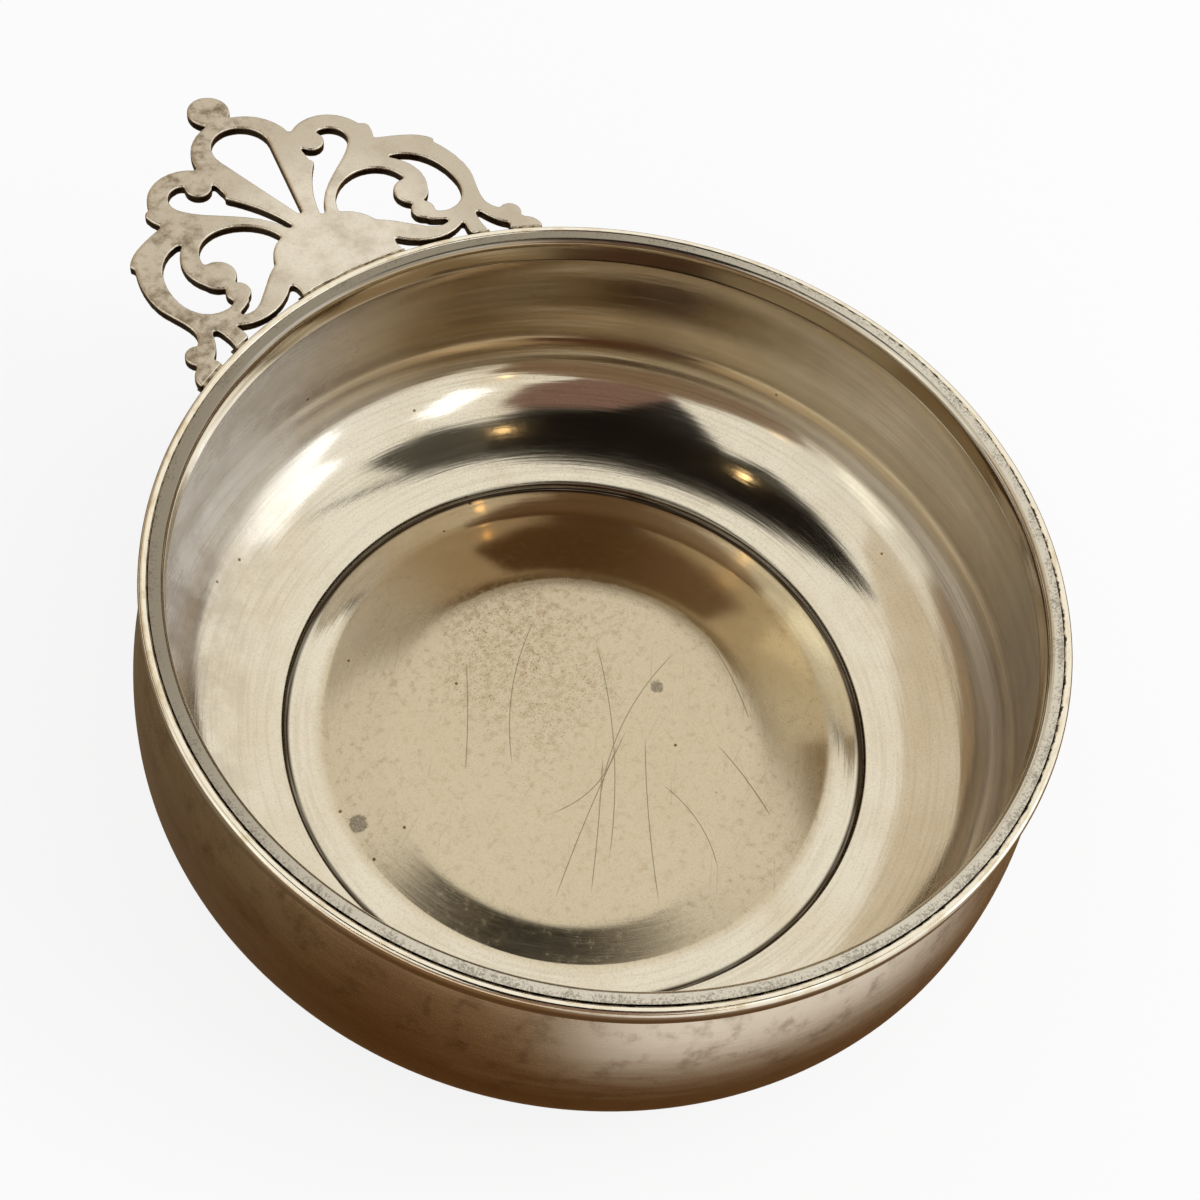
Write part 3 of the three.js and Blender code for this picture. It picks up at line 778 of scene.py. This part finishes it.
def makeHandle():
    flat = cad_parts["handle"].data.copy()
    bm = bmesh.new()
    bm.from_mesh(flat)
    bmesh.ops.remove_doubles(bm, verts=bm.verts[:], dist=1e-6)
    bm.to_mesh(flat)
    bm.free()
    blank = addObject("handleBlank", flat)
    remesh = blank.modifiers.new("cast", "REMESH")
    remesh.mode = "VOXEL"
    remesh.voxel_size = handle["voxel"]
    view = bpy.context.evaluated_depsgraph_get()
    bm = bmesh.new()
    bm.from_object(blank, view)
    bpy.data.objects.remove(blank)
    for step in range(handle["softening"]):
        bmesh.ops.smooth_vert(bm, verts=bm.verts[:], factor=handle["easing"],
                              use_axis_x=True, use_axis_y=True, use_axis_z=True)
    finishPiece(bm, "scrollHandle", "handle", handleFinish())


# the fillets under the five places where the handle meets the rim
handleSolder = {
    "nodes": ("solder_tongue", "solder_strut_left", "solder_strut_right",
              "solder_foot_left", "solder_foot_right"),
    "reach": 1.2 * mm,           # out from the rim under the plate
    "shelf": 0.4 * mm,           # out from the rim beside the plate
    "bite": 0.1 * mm,            # into the wire and the plate
    "below": 0.12 * mm,          # under the plate's top
    "steps": 16,
}


def makeHandleSolder():
    finish = solderFinish()
    outer = rimRadius + handleSolder["reach"]
    shelf = rimRadius + handleSolder["shelf"]
    inner = rimRadius - handleSolder["bite"]
    plateFoot = plateLow.z + handleSolder["bite"]
    plateTop = plateHigh.z - handleSolder["below"]
    for node in handleSolder["nodes"]:
        low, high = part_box(node)
        start = math.asin(high.x / rimRadius)
        sweep = start - math.asin(low.x / rimRadius)
        bm = bmesh.new()
        trail = [bm.verts.new(profilePoint(rimRadius, low.z))]
        lineTo(bm, trail, outer, high.z, 4)
        for radius, height in ((outer, plateFoot), (shelf, plateFoot), (shelf, plateTop),
                               (inner, plateTop), (inner, low.z)):
            lineTo(bm, trail, radius, height)
        bm.edges.new((trail[-1], trail[0]))
        turn = Matrix.Rotation(math.pi / 2 - start, 4, "Z")
        bmesh.ops.rotate(bm, verts=bm.verts[:], cent=(0, axisY, 0), matrix=turn.to_3x3())
        wire = bm.verts[:] + bm.edges[:]
        bmesh.ops.spin(bm, geom=wire, cent=(0, axisY, 0), axis=(0, 0, 1),
                       angle=sweep, steps=handleSolder["steps"])
        bmesh.ops.holes_fill(bm, edges=[edge for edge in bm.edges if edge.is_boundary])
        bmesh.ops.recalc_face_normals(bm, faces=bm.faces[:])
        name = "".join(word.capitalize() for word in node.split("_"))
        finishPiece(bm, name[0].lower() + name[1:], node, finish)


# the camera of the photo: where it looks, how far it leans and how far off the middle it is
photoView = {
    "azimuth": 39.37,
    "elevation": 55.87,
    "roll": 13.93,
    "distance": 203.6 * mm,
    "across": -2.46 * mm,
    "up": -4.85 * mm,
    "lens": 49.67,
    "sensor": 36.0,
    "clipStart": 0.01,
}


def makeCamera():
    azimuth = math.radians(photoView["azimuth"])
    elevation = math.radians(photoView["elevation"])
    roll = math.radians(photoView["roll"])
    far = Vector((math.cos(azimuth), math.sin(azimuth), 0))
    right = Vector((far.y, -far.x, 0))
    forward = far * math.cos(elevation) - Vector((0, 0, math.sin(elevation)))
    up = right.cross(forward)
    across = right * math.cos(roll) + up * math.sin(roll)
    upright = up * math.cos(roll) - right * math.sin(roll)
    spot = rimCentre - forward * photoView["distance"]
    spot = spot + across * photoView["across"] + upright * photoView["up"]
    lens = bpy.data.cameras.new("photoCamera")
    lens.lens = photoView["lens"]
    lens.sensor_width = photoView["sensor"]
    lens.sensor_fit = "HORIZONTAL"
    lens.clip_start = photoView["clipStart"]
    camera = addObject("photoCamera", lens)
    stance = Matrix((across, upright, -forward)).transposed().to_4x4()
    camera.matrix_world = Matrix.Translation(spot) @ stance
    bpy.context.scene.camera = camera
    print("camera set", round(photoView["distance"] / mm, 1), "mm from the rim's middle")


# pale floor, even light, a warm ceiling for the silver to mirror and a white backdrop
studio = {
    "floorSize": 4.0,
    "floorShade": 0.8,
    "floorGlow": 0.85,
    "air": 0.7,
    "ceiling": srgb(251, 243, 224),
    "backdrop": 0.97,
}


def seenRays(tree):
    path = addNode(tree, "LightPath", {}, {})
    shown = calc(tree, "MAXIMUM", path.outputs["Is Camera Ray"], path.outputs["Is Glossy Ray"])
    return calc(tree, "MAXIMUM", shown, path.outputs["Is Transmission Ray"])


def makeFloor():
    bm = bmesh.new()
    bmesh.ops.create_grid(bm, x_segments=4, y_segments=4, size=studio["floorSize"])
    finish, tree = emptyMaterial("paleFloor")
    shade = studio["floorShade"]
    cloth = addNode(tree, "BsdfDiffuse", {}, {"Color": (shade, shade, shade, 1)})
    glow = addNode(tree, "Emission", {}, {"Color": (1, 1, 1, 1), "Strength": 1.0})
    share = calc(tree, "MULTIPLY", seenRays(tree), studio["floorGlow"])
    mixed = addNode(tree, "MixShader", {}, {0: share, 1: cloth.outputs[0], 2: glow.outputs[0]})
    addNode(tree, "OutputMaterial", {}, {"Surface": mixed.outputs[0]})
    floor = addObject("floor", meshFrom(bm, "floor", finish))


def makeAir():
    air = bpy.data.worlds.new("studioAir")
    bpy.context.scene.world = air
    air.use_nodes = True
    tree = air.node_tree
    tree.nodes.clear()
    light = addNode(tree, "Background", {}, {"Color": (1, 1, 1, 1), "Strength": studio["air"]})
    ceiling = addNode(tree, "Background", {}, {"Color": studio["ceiling"], "Strength": 1.0})
    backdrop = addNode(tree, "Background", {}, {"Color": (1, 1, 1, 1), "Strength": studio["backdrop"]})
    mixed = addNode(tree, "MixShader", {}, {0: seenRays(tree), 1: light.outputs[0], 2: ceiling.outputs[0]})
    straight = addNode(tree, "LightPath", {}, {}).outputs["Is Camera Ray"]
    mixed = addNode(tree, "MixShader", {}, {0: straight, 1: mixed.outputs[0], 2: backdrop.outputs[0]})
    addNode(tree, "OutputWorld", {}, {"Surface": mixed.outputs[0]})


# a point over the bowl, from degrees off the zenith to the right of the photo and away from its camera
def overhead(right, away, reach):
    slant = math.radians(math.hypot(right, away))
    azimuth = math.radians(photoView["azimuth"]) - math.atan2(right, away)
    level = Vector((math.cos(azimuth), math.sin(azimuth), 0)) * math.sin(slant)
    return rimCentre + (level + Vector((0, 0, math.cos(slant)))) * reach


# cards that only the silver mirrors: corners in degrees off the zenith, colour, strength and reach
cards = {
    "darkCloth": {
        "corners": [(-29, 1), (-16, -2), (-8, -4), (4, -5), (18, -3), (23, -12), (19, -21), (12, -25),
                    (5, -32), (1, -41), (-3, -49), (-7, -40), (-12, -21), (-14, -17), (-21, -21), (-26, -11)],
        "colour": srgb(24, 20, 14), "strength": 1.0, "reach": 0.84},
    "greyCloth": {
        "corners": [(-33, 5), (-20, 2), (-8, -1), (4, -2), (16, 0), (26, 4), (42, 18), (38, 2), (33, -10),
                    (24, -15), (21, -24), (8, -30), (2, -40), (-3, -49), (-9, -34), (-12, -22), (-20, -22),
                    (-27, -12)],
        "colour": srgb(78, 73, 62), "strength": 1.0, "reach": 0.86},
    "brownCloth": {
        "corners": [(18, -20), (27, -24), (29, -40), (19, -52), (-2, -53), (-5, -47), (1, -36), (10, -24)],
        "colour": srgb(130, 100, 84), "strength": 1.0, "reach": 0.87},
    "tanTable": {
        "corners": [(-42, -50), (-8, -52), (28, -51), (46, -50), (42, -72), (18, -84), (-18, -84),
                    (-42, -72)],
        "colour": srgb(134, 109, 82), "strength": 1.0, "reach": 0.9},
    "tanWall": {
        "corners": [(-24, 64), (-29, 40), (-32, 14), (-36, -8), (-46, -22), (-62, -8), (-56, 10),
                    (-56, 32), (-52, 52), (-40, 66)],
        "colour": srgb(222, 206, 178), "strength": 1.0, "reach": 0.9},
    "brownDoor": {
        "corners": [(-52, 52), (-55, 32), (-55, 10), (-62, -8), (-80, -20), (-84, 20), (-70, 52)],
        "colour": srgb(150, 124, 90), "strength": 1.0, "reach": 0.9},
    "paleWindow": {
        "corners": [(43, 20), (54, 24), (68, 18), (72, -12), (62, -10), (56, 2), (46, 0)],
        "colour": srgb(255, 255, 252), "strength": 1.7, "reach": 0.9},
    "paleCurtain": {
        "corners": [(35, -17), (43, -16), (44, -34), (34, -36)],
        "colour": srgb(255, 255, 250), "strength": 1.7, "reach": 0.9},
    "paleBlind": {
        "corners": [(-60, -26), (-50, -24), (-46, -42), (-56, -50)],
        "colour": srgb(255, 250, 230), "strength": 1.4, "reach": 0.9},
}


def makeCards():
    for name, card in cards.items():
        bm = bmesh.new()
        corners = [bm.verts.new(overhead(right, away, card["reach"])) for right, away in card["corners"]]
        bmesh.ops.contextual_create(bm, geom=corners)
        bmesh.ops.triangulate(bm, faces=bm.faces[:])
        hangCard(bm, name, card["colour"], card["strength"])


# the brown table that the outside mirrors, a ring round the foot with one lit side
tableTop = {
    "inner": 44 * mm,
    "outer": 1.2,
    "height": 0.4 * mm,
    "shade": srgb(114, 86, 55),
    "dim": srgb(122, 106, 84),
    "lit": srgb(236, 226, 212),
    "peach": srgb(255, 224, 190),
    "litSide": 262,              # headings, in degrees
    "dimSide": 130,
    "peachSide": 200,
    "peachNear": 170,            # millimetres from the axis
    "peachFar": 360,
    "turns": 64,
}


def makeTableTop():
    bm = bmesh.new()
    start = bm.verts.new((tableTop["inner"], axisY, tableTop["height"]))
    bmesh.ops.extrude_vert_indiv(bm, verts=[start])
    bm.verts.ensure_lookup_table()
    bm.verts[1].co.x = tableTop["outer"]
    spinAbout(bm, tableTop["turns"])
    glow = hangCard(bm, "tableTop", tableTop["shade"], 1.0)
    tree = glow.id_data
    place = placeOf(tree)
    radius = radiusOf(tree, place)
    heading = headingOf(tree, place)
    lit = fade(tree, facing(tree, heading, tableTop["litSide"]), 0.76, 0.98)
    # the lit side fades out near the foot: a painted shadow of the bowl
    lit = product(tree, lit, fade(tree, radius, 66, 110))
    dim = fade(tree, facing(tree, heading, tableTop["dimSide"]), 0.2, 0.9)
    colour = tint(tree, dim, tableTop["shade"], tableTop["dim"])
    colour = tint(tree, lit, colour, tableTop["lit"])
    streak = fade(tree, facing(tree, heading, tableTop["peachSide"]), 0.82, 0.95)
    streak = product(tree, streak, band(tree, radius, tableTop["peachNear"], tableTop["peachFar"], 25))
    connect(tree, glow, {"Color": tint(tree, streak, colour, tableTop["peach"])})


# small warm lamps, seen as glints
glints = {
    "places": [(-14, -14), (20, -11), (-31, -50), (38, -47)],
    "size": 0.013,
    "reach": 0.8,
    "colour": srgb(255, 214, 150),
    "strength": 7.0,
}


def makeGlints():
    bm = bmesh.new()
    for right, away in glints["places"]:
        place = Matrix.Translation(overhead(right, away, glints["reach"]))
        bmesh.ops.create_icosphere(bm, subdivisions=2, radius=glints["size"], matrix=place)
    hangCard(bm, "warmGlints", glints["colour"], glints["strength"])


def hangCard(bm, name, colour, strength):
    finish, tree = emptyMaterial(name)
    glow = addNode(tree, "Emission", {}, {"Color": colour, "Strength": strength})
    addNode(tree, "OutputMaterial", {}, {"Surface": glow.outputs[0]})
    card = addObject(name, meshFrom(bm, name, finish))
    card.visible_camera = False
    card.visible_shadow = False
    card.visible_diffuse = False
    return glow


# one soft lamp from the right, which the silver doesn't mirror
softBox = {
    "right": 50,
    "away": 8,
    "reach": 1.2,
    "size": 0.8,
    "power": 8.0,
}


def makeSoftBox():
    lamp = bpy.data.lights.new("softBox", "AREA")
    lamp.shape = "SQUARE"
    lamp.size = softBox["size"]
    lamp.energy = softBox["power"]
    spot = overhead(softBox["right"], softBox["away"], softBox["reach"])
    holder = addObject("softBox", lamp)
    aim = (spot - rimCentre).to_track_quat("Z", "Y").to_matrix().to_4x4()
    holder.matrix_world = Matrix.Translation(spot) @ aim
    holder.visible_glossy = False
    print("studio set,", len(cards), "cards and one lamp")


makeCamera()
makeBowl()
makeRim()
makeHandle()
makeHandleSolder()
makeFloor()
makeAir()
makeCards()
makeTableTop()
makeGlints()
makeSoftBox()
bpy.context.scene.view_settings.view_transform = "Standard"
bpy.context.scene.cycles.glossy_bounces = 8    # the bowl mirrors itself many times over
